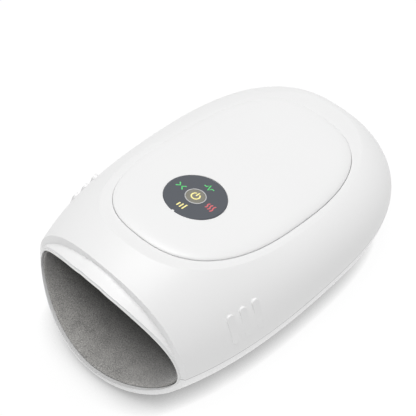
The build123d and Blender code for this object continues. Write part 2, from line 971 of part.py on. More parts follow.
# Control disc, ring and button
ring_inner = button_radius + button_gap
ring_outer = ring_inner + trim_ring_width

with BuildPart() as control_disc:
    with BuildSketch(disc_top):
        Circle(disc_radius)
        Circle(ring_outer, mode=Mode.SUBTRACT)
    extrude(amount=-disc_thickness)
    chamfer(control_disc.faces().sort_by(Axis.Z)[-1].edges().sort_by(SortBy.LENGTH)[-1], disc_bevel)
    with BuildSketch(disc_top):
        with Locations((0, -disc_radius)):
            Circle(key_radius + key_gap)
    extrude(amount=-disc_thickness, mode=Mode.SUBTRACT)
save(control_disc.part, "control_disc")

with BuildPart() as button_ring:
    with BuildSketch(disc_top.offset(-disc_thickness)):
        Circle(ring_outer)
        Circle(ring_inner, mode=Mode.SUBTRACT)
    extrude(amount=disc_thickness + trim_ring_proud)
save(button_ring.part, "button_ring")

with BuildPart() as power_button:
    with BuildSketch(disc_top.offset(button_proud)):
        Circle(button_radius)
    extrude(amount=-button_cap_height)
    fillet(power_button.faces().sort_by(Axis.Z)[-1].edges(), button_round)
    with BuildSketch(disc_top.offset(cap_bottom)):
        Circle(button_flange_radius)
    extrude(amount=-button_flange_height)
    with BuildSketch(disc_top.offset(stem_top)):
        Circle(button_stem_radius)
    extrude(amount=-button_stem_length)
save(power_button.part, "power_button")

# Key board with its switch and lamps
with BuildPart() as switch_plunger:
    with BuildSketch(disc_top.offset(plunger_top)):
        Circle(plunger_radius)
    extrude(amount=-plunger_length)
save(switch_plunger.part, "switch_plunger")

with BuildPart() as tact_switch:
    with BuildSketch(disc_top.offset(key_board_top)):
        Rectangle(switch_size, switch_size)
    extrude(amount=switch_height)
    with BuildSketch(disc_top.offset(plunger_top - plunger_length - button_travel - button_gap)):
        Circle(switch_bore_radius)
    extrude(amount=switch_height, mode=Mode.SUBTRACT)
save(tact_switch.part, "tact_switch")

with BuildPart() as key_board:
    with BuildSketch(disc_top.offset(key_board_top)):
        Circle(key_board_radius)
        with PolarLocations(key_post_circle_radius, key_post_count, start_angle=90):
            Circle(small_hole_radius, mode=Mode.SUBTRACT)
    extrude(amount=-key_board_thickness)
save(key_board.part, "key_board")

small_screw_drive = (small_screw_head_radius, small_screw_head_height)
with BuildPart() as key_screws:
    with Locations(disc_top.offset(key_board_top - key_board_thickness).location):
        with PolarLocations(key_post_circle_radius, key_post_count, start_angle=90):
            add(screw(key_screw_length, small_screw_radius, *small_screw_drive))
save(key_screws.part, "key_screws")

with BuildPart() as indicator_lamps:
    with BuildSketch(disc_top.offset(key_board_top)):
        with PolarLocations(lamp_circle_radius, 4):
            Rectangle(lamp_size, lamp_size)
    extrude(amount=lamp_height)
save(indicator_lamps.part, "indicator_lamps")

# Bag carrier: arch over the sleeve, with screw pads
bags = ((palm_bag_start, palm_bag_length), (finger_bag_start, finger_bag_length))


def bag_y(start, length):
    """Place along Y of the middle of a bag that starts this far behind the carrier's front."""
    return carrier_front_y + (start + length / 2) * cos(radians(deck_slope))


carrier_plane = Plane(
    origin=(0, carrier_front_y, carrier_height),
    x_dir=(1, 0, 0),
    z_dir=(0, -cos(radians(deck_slope)), sin(radians(deck_slope))),
)

with BuildPart() as bag_carrier:
    with BuildSketch(carrier_plane):
        with Locations((0, -arch_radius)):
            Circle(arch_radius + carrier_wall)
        with Locations((0, carrier_wall)):
            Rectangle(
                2 * carrier_half_width, carrier_drop + carrier_wall,
                align=(Align.CENTER, Align.MAX), mode=Mode.INTERSECT,
            )
        with Locations((0, -arch_radius)):
            Circle(arch_radius, mode=Mode.SUBTRACT)
    extrude(amount=-carrier_length)
    for x, y in post_places:
        with BuildSketch(Plane.XY.offset(arch_under(x, y) - carrier_pad_drop)):
            with Locations((x, y)):
                Circle(carrier_pad_radius)
        extrude(amount=carrier_pad_drop + carrier_pad_rise)
        with BuildSketch(Plane.XY.offset(arch_under(x, y) - carrier_pad_drop)):
            with Locations((x, y)):
                Circle(small_hole_radius)
        extrude(amount=carrier_drop, mode=Mode.SUBTRACT)
    with BuildSketch(Plane.XY.offset(parting_height)):
        with Locations(*[(nozzle_x, bag_y(start, length)) for start, length in bags]):
            Circle(nozzle_hole_radius)
    extrude(amount=carrier_height, mode=Mode.SUBTRACT)
save(bag_carrier.part, "bag_carrier")

with BuildPart() as carrier_screws:
    with Locations(*[(x, y, arch_under(x, y) - carrier_pad_drop) for x, y in post_places]):
        add(screw(carrier_screw_length, small_screw_radius, *small_screw_drive))
save(carrier_screws.part, "carrier_screws")


def air_bag(start, length):
    """Flat bladder under the carrier, with a nozzle up through the carrier's hole."""
    outer = arch_radius - bag_gap
    edge_top = sqrt(outer ** 2 - bag_half_width ** 2) - arch_radius
    edge_bottom = edge_top - bag_edge
    y = bag_y(start, length)
    with BuildPart() as bag:
        with BuildSketch(carrier_plane.offset(-start)):
            with BuildLine():
                ThreePointArc((-bag_half_width, edge_top), (0, -bag_gap), (bag_half_width, edge_top))
                Line((bag_half_width, edge_top), (bag_half_width, edge_bottom))
                ThreePointArc(
                    (bag_half_width, edge_bottom),
                    (0, -bag_gap - bag_thickness),
                    (-bag_half_width, edge_bottom),
                )
                Line((-bag_half_width, edge_bottom), (-bag_half_width, edge_top))
            make_face()
        extrude(amount=-length)
        with BuildSketch(Plane.XY.offset(arch_under(nozzle_x, y) - bag_gap - bag_thickness / 2)):
            with Locations((nozzle_x, y)):
                Circle(nozzle_radius)
        extrude(amount=bag_thickness / 2 + nozzle_height)
    return bag.part


# Two air bags, one over the palm and one over the fingers
save(air_bag(palm_bag_start, palm_bag_length), "palm_air_bag")
save(air_bag(finger_bag_start, finger_bag_length), "finger_air_bag")

# Palm plate with domed massage nodes
plate_top = plate_bottom + plate_thickness
dome_radius = (node_radius ** 2 + node_height ** 2) / (2 * node_height)

with BuildPart() as massage_dome:
    with Locations((0, 0, node_height - dome_radius)):
        Sphere(dome_radius)
    split(bisect_by=Plane.XY, keep=Keep.TOP)

with BuildPart() as palm_plate:
    with BuildSketch(Plane.XY.offset(plate_bottom)):
        with Locations((0, plate_y)):
            RectangleRounded(plate_width, plate_length, plate_corner)
        with Locations(*plate_places):
            Circle(small_hole_radius, mode=Mode.SUBTRACT)
    extrude(amount=plate_thickness)
    with Locations((0, plate_y, plate_top)):
        with GridLocations(node_pitch, node_pitch, node_columns, node_rows):
            add(massage_dome.part)
save(palm_plate.part, "palm_plate")

with BuildPart() as plate_screws:
    with Locations(*[Location((x, y, plate_top), (180, 0, 0)) for x, y in plate_places]):
        add(screw(plate_screw_length, small_screw_radius, *small_screw_drive))
save(plate_screws.part, "plate_screws")

with BuildPart() as heating_film:
    with BuildSketch(Plane.XY.offset(plate_bottom)):
        with Locations((0, plate_y)):
            RectangleRounded(film_width, film_length, plate_corner)
    extrude(amount=-film_thickness)
save(heating_film.part, "heating_film")

with BuildPart() as temperature_sensor:
    with BuildSketch(Plane.XY.offset(plate_bottom - film_thickness)):
        with Locations((0, plate_y)):
            Rectangle(sensor_size, sensor_size)
    extrude(amount=-sensor_height)
save(temperature_sensor.part, "temperature_sensor")

# Battery: two cells one above the other, in a holder with end contacts
cell_plane = Plane(origin=(cell_x, cell_front_y, cell_low_z), x_dir=(1, 0, 0), z_dir=(0, -1, 0))
holder_end = cell_cap_height + contact_gap + contact_thickness

with BuildPart() as battery_cells:
    with BuildSketch(cell_plane):
        with Locations((0, 0), (0, cell_pitch)):
            Circle(cell_radius)
    extrude(amount=-cell_length)
    with BuildSketch(cell_plane):
        with Locations((0, 0)):
            Circle(cell_cap_radius)
    extrude(amount=cell_cap_height)
    with BuildSketch(cell_plane.offset(-cell_length)):
        with Locations((0, cell_pitch)):
            Circle(cell_cap_radius)
    extrude(amount=-cell_cap_height)
save(battery_cells.part, "battery_cells")

with BuildPart() as battery_holder:
    with BuildSketch(cell_plane.offset(holder_end + holder_wall)):
        with Locations((0, 0), (0, cell_pitch)):
            Circle(holder_radius)
        with Locations((0, cell_pitch / 2)):
            Rectangle(
                holder_radius, cell_pitch + 2 * holder_radius,
                align=(Align.MIN, Align.CENTER), mode=Mode.SUBTRACT,
            )
    extrude(amount=-cell_length - 2 * (holder_end + holder_wall))
    with BuildSketch(cell_plane.offset(holder_end)):
        with Locations((0, 0), (0, cell_pitch)):
            Circle(cell_radius + holder_gap)
        with Locations((0, cell_pitch / 2)):
            Rectangle(contact_width + 2 * contact_gap, cell_pitch)
    extrude(amount=-cell_length - 2 * holder_end, mode=Mode.SUBTRACT)
save(battery_holder.part, "battery_holder")

with BuildPart() as battery_contacts:
    with BuildSketch(cell_plane.offset(holder_end)):
        with Locations((0, cell_pitch / 2)):
            Rectangle(contact_width, cell_pitch + contact_width)
    extrude(amount=-contact_thickness)
    with BuildSketch(cell_plane.offset(-cell_length - holder_end)):
        with Locations((0, cell_pitch / 2)):
            Rectangle(contact_width, cell_pitch + contact_width)
    extrude(amount=contact_thickness)
save(battery_contacts.part, "battery_contacts")

# Main board, upright beside the sleeve, with its components
board_face = Plane(origin=(board_x, 0, 0), x_dir=(0, -1, 0), z_dir=(-1, 0, 0))

with BuildPart() as main_board:
    with BuildSketch(board_face):
        with Locations((-board_front_y - board_length / 2, board_bottom + board_height / 2)):
            Rectangle(board_length, board_height)
    extrude(amount=-board_thickness)
save(main_board.part, "main_board")

with BuildPart() as board_components:
    with BuildSketch(board_face):
        with Locations((-chip_y, chip_z)):
            Rectangle(chip_size, chip_size)
    extrude(amount=chip_height)
    with BuildSketch(board_face):
        with Locations((-capacitor_y, capacitor_z)):
            Circle(capacitor_radius)
    extrude(amount=capacitor_height)
    with BuildSketch(board_face):
        with Locations((-plug_y, plug_z)):
            Rectangle(plug_width, plug_height)
    extrude(amount=plug_depth)
save(board_components.part, "board_components")

# Two release valves: body with an upright bore, plunger and spring
valve_x = board_x - valve_board_gap - valve_width / 2
valve_places = ((valve_x, palm_valve_y), (valve_x, finger_valve_y))
bore_bottom = valve_bottom + valve_end_wall
bore_top = valve_bottom + valve_height - valve_end_wall
valve_plunger_top = bore_bottom + valve_seat_gap + valve_plunger_length
valve_stop_bottom = valve_plunger_top + valve_travel + valve_seat_gap
spring_bottom = valve_plunger_top + valve_spring_gap
spring_length = bore_top - valve_spring_gap - spring_bottom

with BuildPart() as valve_bodies:
    with BuildSketch(Plane.XY.offset(valve_bottom)):
        with Locations(*valve_places):
            Rectangle(valve_width, valve_depth)
    extrude(amount=valve_height)
    with BuildSketch(Plane.XY.offset(valve_bottom - valve_nozzle_length)):
        with Locations(*valve_places):
            Circle(valve_nozzle_radius)
    extrude(amount=valve_nozzle_length)
    with BuildSketch(Plane.XY.offset(bore_bottom)):
        with Locations(*valve_places):
            Circle(valve_bore_radius)
    extrude(amount=bore_top - bore_bottom, mode=Mode.SUBTRACT)
    with BuildSketch(Plane.XY.offset(valve_stop_bottom)):
        with Locations(*valve_places):
            Circle(valve_stop_radius)
    extrude(amount=bore_top - valve_stop_bottom)
    with BuildSketch(Plane.XY.offset(valve_bottom - valve_nozzle_length)):
        with Locations(*valve_places):
            Circle(valve_port_radius)
    extrude(amount=valve_nozzle_length + valve_height, mode=Mode.SUBTRACT)
save(valve_bodies.part, "valve_bodies")


def valve_plunger(x, y):
    """Solenoid plunger that rests on the seat of its valve."""
    with BuildPart() as plunger:
        with BuildSketch(Plane.XY.offset(bore_bottom + valve_seat_gap)):
            with Locations((x, y)):
                Circle(valve_plunger_radius)
        extrude(amount=valve_plunger_length)
    return plunger.part


def valve_spring(x, y):
    """Coil spring between a plunger and the top of its bore."""
    rise = spring_length - 2 * valve_spring_wire_radius
    start = (x + valve_spring_radius, y, spring_bottom + valve_spring_wire_radius)
    with BuildPart() as spring:
        with BuildLine() as coil:
            Helix(rise / valve_spring_turns, rise, valve_spring_radius, (x, y, start[2]))
        with BuildSketch(Plane(origin=start, x_dir=(1, 0, 0), z_dir=coil.line % 0)):
            Circle(valve_spring_wire_radius)
        sweep(path=coil.line)
    return spring.part


save(valve_plunger(valve_x, palm_valve_y), "palm_valve_plunger")
save(valve_plunger(valve_x, finger_valve_y), "finger_valve_plunger")
save(valve_spring(valve_x, palm_valve_y), "palm_valve_spring")
save(valve_spring(valve_x, finger_valve_y), "finger_valve_spring")

# Manifold under the valves, with nozzles for the three air tubes
manifold_top = valve_bottom - manifold_gap
manifold_z = manifold_top - manifold_height / 2
manifold_front = palm_valve_y - manifold_end
manifold_back = finger_valve_y + manifold_end
finger_tube_y = bag_y(finger_bag_start, finger_bag_length)
palm_tube_y = bag_y(palm_bag_start, palm_bag_length)

with BuildPart() as valve_manifold:
    with BuildSketch(Plane.XY.offset(manifold_top - manifold_height)):
        with Locations((valve_x, (manifold_front + manifold_back) / 2)):
            Rectangle(manifold_width, manifold_back - manifold_front)
    extrude(amount=manifold_height)
    with BuildSketch(Plane.XZ.offset(-manifold_back - nozzle_height)):
        with Locations((valve_x, manifold_z)):
            Circle(nozzle_radius)
    extrude(amount=manifold_back - manifold_front + 2 * nozzle_height)
    with BuildSketch(Plane.XY.offset(manifold_z)):
        with Locations((valve_x, finger_tube_y)):
            Circle(nozzle_radius)
    extrude(amount=manifold_height / 2 + nozzle_height)
    with BuildSketch(Plane.XY.offset(manifold_z)):
        with Locations(*valve_places):
            Circle(valve_nozzle_radius + manifold_socket_gap)
    extrude(amount=manifold_height, mode=Mode.SUBTRACT)
    with BuildSketch(Plane.XZ.offset(-manifold_back - nozzle_height)):
        with Locations((valve_x, manifold_z)):
            Circle(manifold_bore_radius)
    extrude(amount=manifold_back - manifold_front + 2 * nozzle_height, mode=Mode.SUBTRACT)
    with BuildSketch(Plane.XY.offset(manifold_z)):
        with Locations((valve_x, finger_tube_y)):
            Circle(manifold_bore_radius)
    extrude(amount=manifold_height, mode=Mode.SUBTRACT)
save(valve_manifold.part, "valve_manifold")

# Air pump at the back: motor, crank chamber, diaphragm and valve cover in a row along X
pump_axis = Plane(origin=(0, pump_y, pump_z), x_dir=(0, 1, 0), z_dir=(1, 0, 0))
head_left = motor_right + head_gap
head_right = head_left + head_length
cover_left = head_right + diaphragm_thickness
cover_right = cover_left + cover_length


def pump_ring(outer, inner, left, right):
    """Round tube about the pump's axis between two places along X."""
    with BuildPart() as ring:
        with BuildSketch(pump_axis.offset(left)):
            Circle(outer)
            if inner > 0:
                Circle(inner, mode=Mode.SUBTRACT)
        extrude(amount=right - left)
    return ring.part


save(pump_ring(motor_radius, motor_bore_radius, motor_left, motor_right), "pump_motor")

with BuildPart() as motor_bushes:
    bush_bore = shaft_radius + shaft_gap
    add(pump_ring(motor_bore_radius, bush_bore, motor_left, motor_left + bush_length))
    add(pump_ring(motor_bore_radius, bush_bore, motor_right - bush_length, motor_right))
save(motor_bushes.part, "motor_bushes")

save(pump_ring(shaft_radius, 0, shaft_left, shaft_right), "pump_shaft")

with BuildPart() as pump_cam:
    with BuildSketch(pump_axis.offset(cam_left)):
        with Locations((0, cam_offset)):
            Circle(cam_radius)
        Circle(shaft_radius, mode=Mode.SUBTRACT)
    extrude(amount=cam_length)
save(pump_cam.part, "pump_cam")

with BuildPart() as pump_head:
    add(pump_ring(head_radius, motor_bore_radius, head_left, head_right))
    add(pump_ring(chamber_radius, 0, head_right - chamber_depth, head_right), mode=Mode.SUBTRACT)
save(pump_head.part, "pump_head")

save(pump_ring(head_radius, 0, head_right, cover_left), "pump_diaphragm")

with BuildPart() as pump_cover:
    add(pump_ring(head_radius, 0, cover_left, cover_right))
    fillet(pump_cover.faces().sort_by(Axis.X)[-1].edges(), cover_round)
    with BuildSketch(pump_axis.offset(cover_right)):
        with Locations((0, outlet_rise)):
            Circle(nozzle_radius)
    extrude(amount=outlet_length)
save(pump_cover.part, "pump_cover")

with BuildPart() as pump_mounts:
    half = mount_width / 2
    add(pump_ring(mount_radius, motor_radius, mount_motor_x - half, mount_motor_x + half))
    add(pump_ring(mount_radius, head_radius, mount_head_x - half, mount_head_x + half))
save(pump_mounts.part, "pump_mounts")

with BuildPart() as pump_bracket:
    for x in (mount_motor_x, mount_head_x):
        add(pump_ring(cradle_radius, mount_radius + cradle_gap, x - half, x + half))
    split(bisect_by=Plane.XY.offset(pump_z + cradle_mouth_height), keep=Keep.BOTTOM)
    with BuildSketch(Plane.XY.offset(cradle_base_bottom)):
        with Locations((0, pump_y)):
            Rectangle(cradle_base_length, cradle_base_width)
        with Locations(*cradle_places):
            Circle(small_hole_radius, mode=Mode.SUBTRACT)
    extrude(amount=cradle_base_thickness)
    add(pump_ring(mount_radius + cradle_gap, 0, shaft_left, cover_right), mode=Mode.SUBTRACT)
save(pump_bracket.part, "pump_bracket")

with BuildPart() as bracket_screws:
    base_top = cradle_base_bottom + cradle_base_thickness
    with Locations(*[Location((x, y, base_top), (180, 0, 0)) for x, y in cradle_places]):
        add(screw(cradle_screw_length, small_screw_radius, *small_screw_drive))
save(bracket_screws.part, "bracket_screws")

# Charging port in the back wall, on its own small board
port_back = Plane(origin=(0, port_front_y, port_z), x_dir=(-1, 0, 0), z_dir=(0, 1, 0))

with BuildPart() as charging_port:
    with BuildSketch(port_back):
        SlotOverall(port_width, port_height)
    extrude(amount=-port_length)
    with BuildSketch(port_back):
        SlotOverall(port_width - 2 * port_shell, port_height - 2 * port_shell)
        Rectangle(tongue_width, tongue_height, mode=Mode.SUBTRACT)
    extrude(amount=-port_depth, mode=Mode.SUBTRACT)
    with BuildSketch(port_back):
        Rectangle(tongue_width, tongue_height)
    extrude(amount=-tongue_setback, mode=Mode.SUBTRACT)
save(charging_port.part, "charging_port")

with BuildPart() as charging_board:
    with BuildSketch(Plane.XY.offset(port_board_bottom)):
        with Locations((0, port_board_y)):
            Rectangle(port_board_width, port_board_length)
    extrude(amount=port_board_thickness)
save(charging_board.part, "charging_board")


def air_tube(corners):
    """Soft hollow tube along a line of corners, each rounded."""
    with BuildPart() as tube:
        with BuildLine() as way:
            FilletPolyline(*corners, radius=tube_bend)
        with BuildSketch(Plane(origin=corners[0], z_dir=way.line % 0)):
            Circle(tube_radius)
            Circle(nozzle_radius + tube_gap, mode=Mode.SUBTRACT)
        sweep(path=way.line)
    return tube.part


# Air tubes: pump to manifold, manifold to each bag
palm_nozzle_z = arch_under(nozzle_x, palm_tube_y) - bag_gap
finger_nozzle_z = arch_under(nozzle_x, finger_tube_y) - bag_gap
tube_start = nozzle_height - tube_grip
tube_rise = nozzle_height + tube_end_gap + tube_bend

with BuildPart() as air_tubes:
    add(air_tube([
        (nozzle_x, palm_tube_y, palm_nozzle_z + tube_start),
        (nozzle_x, palm_tube_y, palm_nozzle_z + tube_rise),
        palm_tube_shoulder,
        palm_tube_side,
        (valve_x, palm_tube_low_y, manifold_z),
        (valve_x, manifold_front - tube_start, manifold_z),
    ]))
    add(air_tube([
        (nozzle_x, finger_tube_y, finger_nozzle_z + tube_start),
        (nozzle_x, finger_tube_y, finger_nozzle_z + tube_rise),
        (finger_tube_shoulder_x, finger_tube_y, finger_tube_shoulder_z),
        (valve_x, finger_tube_y, finger_tube_drop_z),
        (valve_x, finger_tube_y, manifold_top + tube_start),
    ]))
    add(air_tube([
        (cover_right + outlet_length - tube_grip, pump_y, pump_z + outlet_rise),
        (pump_tube_turn_x, pump_y, pump_z + outlet_rise),
        pump_tube_side,
        (valve_x, manifold_back + tube_run, manifold_z),
        (valve_x, manifold_back + tube_start, manifold_z),
    ]))
save(air_tubes.part, "air_tubes")

# Rubber feet and housing screws
with BuildPart() as rubber_feet:
    with BuildSketch():
        with Locations(*foot_places):
            Circle(foot_radius)
    extrude(amount=hull_foot_height + foot_recess)
    fillet(rubber_feet.edges().group_by(Axis.Z)[0], foot_round)
save(rubber_feet.part, "rubber_feet")

with BuildPart() as housing_screws:
    with Locations(*[(x, y, parting_height - screw_seat) for x, y in boss_places]):
        add(screw(screw_length, screw_radius, screw_head_radius, screw_head_height))
save(housing_screws.part, "housing_screws")
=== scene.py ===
import math
import random

import bpy
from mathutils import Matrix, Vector


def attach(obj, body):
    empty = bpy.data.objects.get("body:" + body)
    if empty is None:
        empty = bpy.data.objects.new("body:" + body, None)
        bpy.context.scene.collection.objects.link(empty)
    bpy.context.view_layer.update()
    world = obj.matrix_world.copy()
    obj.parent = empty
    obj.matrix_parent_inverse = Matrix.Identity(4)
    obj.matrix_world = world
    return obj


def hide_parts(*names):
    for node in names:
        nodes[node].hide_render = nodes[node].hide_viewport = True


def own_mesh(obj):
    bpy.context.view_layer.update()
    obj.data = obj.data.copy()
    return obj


random.seed(7)

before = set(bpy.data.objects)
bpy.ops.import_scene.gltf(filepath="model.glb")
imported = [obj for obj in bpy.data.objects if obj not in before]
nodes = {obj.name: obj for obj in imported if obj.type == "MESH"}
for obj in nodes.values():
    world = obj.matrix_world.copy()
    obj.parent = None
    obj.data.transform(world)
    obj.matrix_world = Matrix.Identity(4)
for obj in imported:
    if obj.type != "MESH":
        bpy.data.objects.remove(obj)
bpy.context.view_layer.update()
scene = bpy.context.scene

# Sizes and places are in millimetres, apart from those of the floor, lamps and camera

MM = 0.001
parting_height = 35.0


# Material helpers

def new_material(name, roughness, metallic=0.0, coat=0.0):
    """A material, its node tree and its Principled node."""
    material = bpy.data.materials.new(name)
    material.use_nodes = True
    tree = material.node_tree
    shader = tree.nodes["Principled BSDF"]
    shader.inputs["Roughness"].default_value = roughness
    shader.inputs["Metallic"].default_value = metallic
    shader.inputs["Coat Weight"].default_value = coat
    return material, tree, shader


def ramp(tree, source, span, low_color, high_color):
    """A colour that runs from one to another over a span of the source."""
    node = tree.nodes.new("ShaderNodeValToRGB")
    for element, position, color in zip(node.color_ramp.elements, span, (low_color, high_color)):
        element.position = position
        element.color = (*color, 1)
    tree.links.new(source, node.inputs["Fac"])
    return node.outputs["Color"]


def noise(tree, scale, detail=2.0, roughness=0.5, stretch=(1, 1, 1)):
    """Noise in object coordinates, with an optional stretch."""
    place = tree.nodes.new("ShaderNodeTexCoord")
    mapping = tree.nodes.new("ShaderNodeMapping")
    mapping.inputs["Scale"].default_value = stretch
    texture = tree.nodes.new("ShaderNodeTexNoise")
    texture.inputs["Scale"].default_value = scale
    texture.inputs["Detail"].default_value = detail
    texture.inputs["Roughness"].default_value = roughness
    tree.links.new(place.outputs["Object"], mapping.inputs["Vector"])
    tree.links.new(mapping.outputs["Vector"], texture.inputs["Vector"])
    return texture.outputs["Fac"]


def coordinate(tree, axis):
    """The object coordinate along one axis."""
    place = tree.nodes.new("ShaderNodeTexCoord")
    axes = tree.nodes.new("ShaderNodeSeparateXYZ")
    tree.links.new(place.outputs["Object"], axes.inputs["Vector"])
    return axes.outputs[axis]


def calculate(tree, operation, *terms):
    """The result of a math node whose terms are sockets or plain numbers."""
    node = tree.nodes.new("ShaderNodeMath")
    node.operation = operation
    for term, socket in zip(terms, node.inputs):
        if isinstance(term, (int, float)):
            socket.default_value = term
        else:
            tree.links.new(term, socket)
    return node.outputs["Value"]


def remap(tree, source, low, high, start=0.0, end=1.0, interpolation="LINEAR"):
    """A value that runs from low to high while the source runs from start to end."""
    node = tree.nodes.new("ShaderNodeMapRange")
    node.interpolation_type = interpolation
    node.inputs["From Min"].default_value = start
    node.inputs["From Max"].default_value = end
    node.inputs["To Min"].default_value = low
    node.inputs["To Max"].default_value = high
    tree.links.new(source, node.inputs["Value"])
    return node.outputs["Result"]


def bump(tree, shader, height, strength, depth):
    """Fine relief on the surface."""
    node = tree.nodes.new("ShaderNodeBump")
    node.inputs["Strength"].default_value = strength
    node.inputs["Distance"].default_value = depth * MM
    tree.links.new(height, node.inputs["Height"])
    tree.links.new(node.outputs["Normal"], shader.inputs["Normal"])


def tint(tree, shader, source, span, color, dark_share):
    """Colour the surface, and let it fall to a share of the colour where the source is low."""
    darker = tuple(c * dark_share for c in color)
    tree.links.new(ramp(tree, source, span, darker, color), shader.inputs["Base Color"])


def paint_shade(tree, shader, share):
    """Scale the base colour of a finished material by a share, to paint shade into it."""
    scaled = tree.nodes.new("ShaderNodeVectorMath")
    scaled.operation = "SCALE"
    tree.links.new(shader.inputs["Base Color"].links[0].from_socket, scaled.inputs[0])
    tree.links.new(share, scaled.inputs["Scale"])
    tree.links.new(scaled.outputs["Vector"], shader.inputs["Base Color"])


# Plastic, metal, rubber and circuit boards

soft_span = (0.3, 0.7)
skin_depth = 0.1

drift_scale = 9.0
drift_share = 0.985
gloss_scale = 40.0
gloss_spread = 0.1
grain_scale = 900.0
grain_strength = 0.02

streak_scale = 300.0
streak_stretch = (1, 8, 8)
streak_span = (0.35, 0.65)
streak_share = 0.9
streak_strength = 0.05

speckle_scale = 600.0
speckle_detail = 4.0
speckle_share = 0.85
speckle_strength = 0.15
speckle_depth = 0.2

track_scale = 260.0
track_stretch = (1, 0.25, 1)
track_span = (0.48, 0.52)
track_strength = 0.1
mask_green = (0.012, 0.09, 0.03)
track_green = (0.02, 0.14, 0.05)
mask_roughness = 0.35


def plastic(name, color, roughness, coat=0.0):
    """Moulded plastic: slight colour drift, uneven gloss and a fine skin."""
    material, tree, shader = new_material(name, roughness, coat=coat)
    tint(tree, shader, noise(tree, drift_scale), soft_span, color, drift_share)
    smoother = roughness * (1 - gloss_spread)
    rougher = roughness * (1 + gloss_spread)
    gloss = remap(tree, noise(tree, gloss_scale), smoother, rougher)
    tree.links.new(gloss, shader.inputs["Roughness"])
    bump(tree, shader, noise(tree, grain_scale), grain_strength, skin_depth)
    return material


def metal(name, color, roughness):
    """Drawn or turned metal with fine streaks."""
    material, tree, shader = new_material(name, roughness, metallic=1.0)
    streaks = noise(tree, streak_scale, stretch=streak_stretch)
    tint(tree, shader, streaks, streak_span, color, streak_share)
    bump(tree, shader, streaks, streak_strength, skin_depth)
    return material


def rubber(name, color, roughness=0.7):
    """Soft moulded rubber or film with a dull skin."""
    material, tree, shader = new_material(name, roughness)
    speckle = noise(tree, speckle_scale, detail=speckle_detail)
    tint(tree, shader, speckle, soft_span, color, speckle_share)
    bump(tree, shader, speckle, speckle_strength, speckle_depth)
    return material


def circuit(name):
    """Green solder mask with faint tracks."""
    material, tree, shader = new_material(name, mask_roughness)
    tracks = noise(tree, track_scale, detail=0.0, stretch=track_stretch)
    color = ramp(tree, tracks, track_span, mask_green, track_green)
    tree.links.new(color, shader.inputs["Base Color"])
    bump(tree, shader, tracks, track_strength, skin_depth)
    return material


# Painted shade along the parting line of the housing

seam_half_width = 0.2
seam_shade_share = 0.45


def paint_seam_shade(material):
    """Paint a thin line of shade where the two halves of the housing meet, for the shade in the gap between
    them.
    """
    tree = material.node_tree
    height = coordinate(tree, "Z")
    near = calculate(tree, "COMPARE", height, parting_height * MM, seam_half_width * MM)
    paint_shade(tree, tree.nodes["Principled BSDF"], remap(tree, near, 1.0, seam_shade_share))


# Heathered cloth

cloth_roughness = 0.95
nap_weight = 0.25
nap_roughness = 0.6
yarn_scale = 2200.0
yarn_detail = 4.0
yarn_contrast = 0.7
yarn_stretch = (1, 0.6, 1)
yarn_span = (0.4, 0.85)
yarn_strength = 0.5
yarn_depth = 0.6
patch_scale = 120.0
patch_detail = 3.0
patch_share = 0.15
dark_yarn = (0.05, 0.049, 0.048)
light_yarn = (0.36, 0.352, 0.335)
# Painted shade of the lining: full colour at the mouth, falling to a share of it deeper in
painted_shade_start_y = -108.0
painted_shade_deep_y = -76.0
painted_shade_share = 0.24


def heathered_cloth(name):
    """Dark grey knit of mixed light and dark yarns with a soft nap, darkened away from the mouth by painted
    shade.
    """
    material, tree, shader = new_material(name, cloth_roughness)
    shader.inputs["Sheen Weight"].default_value = nap_weight
    shader.inputs["Sheen Roughness"].default_value = nap_roughness
    yarns = noise(tree, yarn_scale, detail=yarn_detail, roughness=yarn_contrast, stretch=yarn_stretch)
    patches = noise(tree, patch_scale, detail=patch_detail)
    heather = calculate(tree, "MULTIPLY_ADD", patches, patch_share, yarns)
    color = ramp(tree, heather, yarn_span, dark_yarn, light_yarn)
    tree.links.new(color, shader.inputs["Base Color"])
    # Painted shade: the cloth darkens with depth into the sleeve, standing in for the shade deep in the
    # hand space
    depth = coordinate(tree, "Y")
    share = remap(
        tree, depth, 1.0, painted_shade_share,
        start=painted_shade_start_y * MM, end=painted_shade_deep_y * MM, interpolation="SMOOTHSTEP",
    )
    paint_shade(tree, shader, share)
    bump(tree, shader, yarns, yarn_strength, yarn_depth)
    return material


# Materials of the object

white_shell = plastic("white_shell", (0.87, 0.87, 0.87), roughness=0.4)
# The lower housing's white is painted lighter than the upper's: painted light for the light the floor
# throws up onto its under side
hull_painted_lighter = plastic("hull_painted_lighter", (0.93, 0.93, 0.93), roughness=0.4)
# Painted shade along the parting line, on both housings
paint_seam_shade(white_shell)
paint_seam_shade(hull_painted_lighter)
white_panel = plastic("white_panel", (0.89, 0.89, 0.89), roughness=0.34)
white_trim = plastic("white_trim", (0.82, 0.82, 0.82), roughness=0.4)
inner_plastic = plastic("inner_plastic", (0.7, 0.69, 0.66), roughness=0.5)
black_plastic = plastic("black_plastic", (0.02, 0.02, 0.02), roughness=0.5)
slate_disc = plastic("slate_disc", (0.072, 0.08, 0.095), roughness=0.4)
grey_button = plastic("grey_button", (0.222, 0.215, 0.177), roughness=0.45)
cell_wrap = plastic("cell_wrap", (0.04, 0.16, 0.4), roughness=0.3)
amber_film = plastic("amber_film", (0.45, 0.2, 0.03), roughness=0.3)
clear_lamp = plastic("clear_lamp", (0.85, 0.82, 0.6), roughness=0.15, coat=0.5)
pale_ring = plastic("pale_ring", (0.6, 0.6, 0.6), roughness=0.3)
steel = metal("steel", (0.55, 0.55, 0.56), roughness=0.35)
nickel = metal("nickel", (0.62, 0.6, 0.55), roughness=0.3)
bronze = metal("bronze", (0.5, 0.3, 0.14), roughness=0.4)
black_rubber = rubber("black_rubber", (0.025, 0.025, 0.025))
grey_rubber = rubber("grey_rubber", (0.2, 0.2, 0.205))
milky_tube = rubber("milky_tube", (0.65, 0.66, 0.66), roughness=0.4)
bag_film = rubber("bag_film", (0.4, 0.41, 0.43), roughness=0.45)
board_green = circuit("board_green")
grey_cloth = heathered_cloth("grey_cloth")

